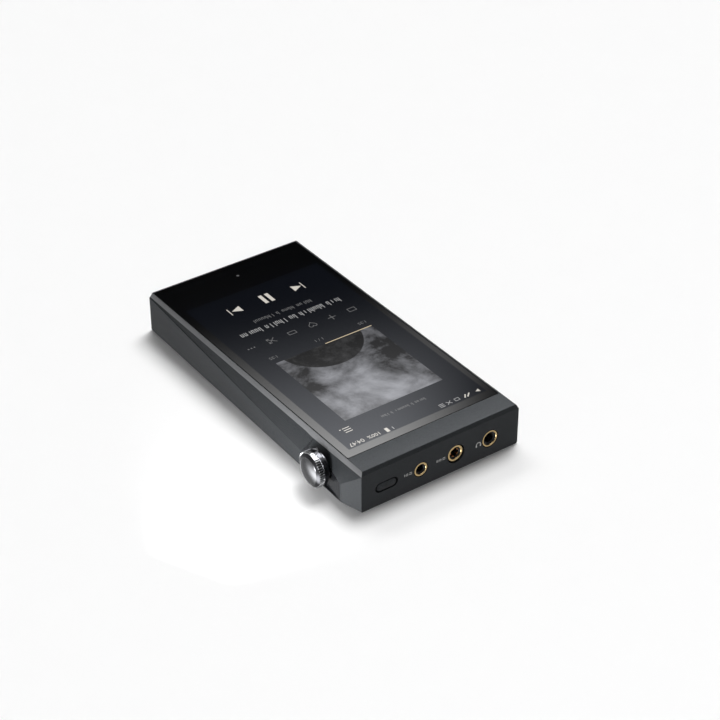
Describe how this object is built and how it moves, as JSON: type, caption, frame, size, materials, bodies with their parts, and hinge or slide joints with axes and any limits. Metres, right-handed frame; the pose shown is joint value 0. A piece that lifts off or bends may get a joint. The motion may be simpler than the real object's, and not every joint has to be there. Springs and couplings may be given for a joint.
{
  "type": "digital audio player",
  "caption": "Pocket music player: faceted dark aluminium body, glass front and back, knurled side volume wheel, gold-ringed headphone jacks, playback and power buttons.",
  "frame": {"origin": "bottom centre of the bounding box: centre of the length and width, on the face it rests on", "axes": "+Z out of the screen, +Y along the length towards the jack end, +X across the width towards the volume wheel"},
  "size_m": [0.0786, 0.1412, 0.0171],
  "materials": {
    "blasted_aluminium": "bead-blasted, dark grey anodised",
    "black_glass": "polished, black behind",
    "polished_dark_steel": "polished, dark plated",
    "steel": "plain",
    "gold_plate": "gold plated",
    "brass": "turned",
    "black_plastic": "moulded",
    "circuit_board": "solder mask over glass fibre",
    "rubber": "soft foam and silicone",
    "battery_foil": "laminated pouch",
    "flex_film": "amber film",
    "tube_glass": "clear"
  },
  "bodies": {
    "player_body": {"audio_board": "circuit_board", "audio_flex": "flex_film", "back_cover": "black_glass", "back_cover_tape": "rubber", "battery": "battery_foil", "board_screw_left_1": "steel", "board_screw_left_2": "steel", "board_screw_right_1": "steel", "board_screw_right_2": "steel", "card_slot": "steel", "chassis": "blasted_aluminium", "converter_shield_left": "steel", "converter_shield_right": "steel", "display_flex": "flex_film", "display_gasket": "rubber", "display_module": "black_plastic", "front_glass": "black_glass", "jack_headphone": "black_plastic", "jack_headphone_collar": "gold_plate", "jack_large_balanced": "black_plastic", "jack_large_balanced_collar": "gold_plate", "jack_small_balanced": "black_plastic", "jack_small_balanced_collar": "gold_plate", "main_board": "circuit_board", "mid_plate": "steel", "next_switch": "black_plastic", "plate_screw_left_1": "steel", "plate_screw_left_2": "steel", "plate_screw_left_3": "steel", "plate_screw_right_1": "steel", "plate_screw_right_2": "steel", "plate_screw_right_3": "steel", "play_switch": "black_plastic", "power_shield": "steel", "power_switch": "black_plastic", "power_switch_board": "circuit_board", "previous_switch": "black_plastic", "processor_shield": "steel", "radio_shield": "steel", "rotary_encoder": "steel", "shaft_bushing": "brass", "side_switch_board": "circuit_board", "tube_carrier": "black_plastic", "tube_damper_left": "rubber", "tube_damper_right": "rubber", "usb_shell": "steel", "usb_tongue": "black_plastic", "vacuum_tube": "tube_glass"},
    "wheel": {"volume_wheel": "polished_dark_steel", "wheel_cap": "polished_dark_steel", "wheel_shaft": "steel"},
    "power_button": {"power_button": "blasted_aluminium"},
    "previous_button": {"previous_button": "blasted_aluminium"},
    "play_button": {"play_button": "blasted_aluminium"},
    "next_button": {"next_button": "blasted_aluminium"}
  },
  "joints": [
    {"name": "volume_wheel_turn", "type": "hinge", "parent": "player_body", "child": "wheel", "pos_m": [0.035, 0.04948, 0.00855], "axis": [1, 0, 0], "continuous": true},
    {"name": "power_button_press", "type": "slide", "parent": "player_body", "child": "power_button", "axis": [0, -1, 0], "range_m": [0, 0.0004], "stiffness_N_per_m": 1500, "springref_m": -0.0005},
    {"name": "previous_button_press", "type": "slide", "parent": "player_body", "child": "previous_button", "axis": [1, 0, 0], "range_m": [0, 0.0004], "stiffness_N_per_m": 1500, "springref_m": -0.0005},
    {"name": "play_button_press", "type": "slide", "parent": "player_body", "child": "play_button", "axis": [1, 0, 0], "range_m": [0, 0.0004], "stiffness_N_per_m": 1500, "springref_m": -0.0005},
    {"name": "next_button_press", "type": "slide", "parent": "player_body", "child": "next_button", "axis": [1, 0, 0], "range_m": [0, 0.0004], "stiffness_N_per_m": 1500, "springref_m": -0.0005}
  ]
}
